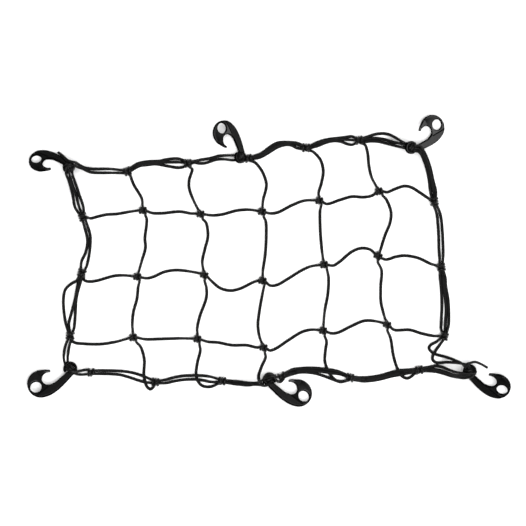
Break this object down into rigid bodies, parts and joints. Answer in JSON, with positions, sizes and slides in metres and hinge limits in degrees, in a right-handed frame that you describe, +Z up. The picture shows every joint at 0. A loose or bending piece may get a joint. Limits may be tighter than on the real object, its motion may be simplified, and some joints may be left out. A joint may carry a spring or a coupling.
{
  "type": "cargo net",
  "caption": "Elastic cord cargo net, hand-knotted mesh with a doubled border cord, and flat moulded hooks with open mouths and finger holes on its edge, laid out relaxed.",
  "frame": {"origin": "centre of the laid-out net's footprint, on the surface it lies on", "axes": "+X along the long side, +Y towards the side with the long row of three upper hooks, +Z up from the surface"},
  "size_m": [0.484, 0.293, 0.0269],
  "materials": {
    "cord": "black braided cover, satin",
    "hook": "black moulded plastic, satin with polished rims"
  },
  "bodies": {
    "root": {"net": "cord", "hook_top_left": "hook", "hook_top_middle": "hook", "hook_top_right": "hook", "hook_bottom_left": "hook", "hook_bottom_middle": "hook", "hook_bottom_right": "hook"}
  },
  "joints": []
}
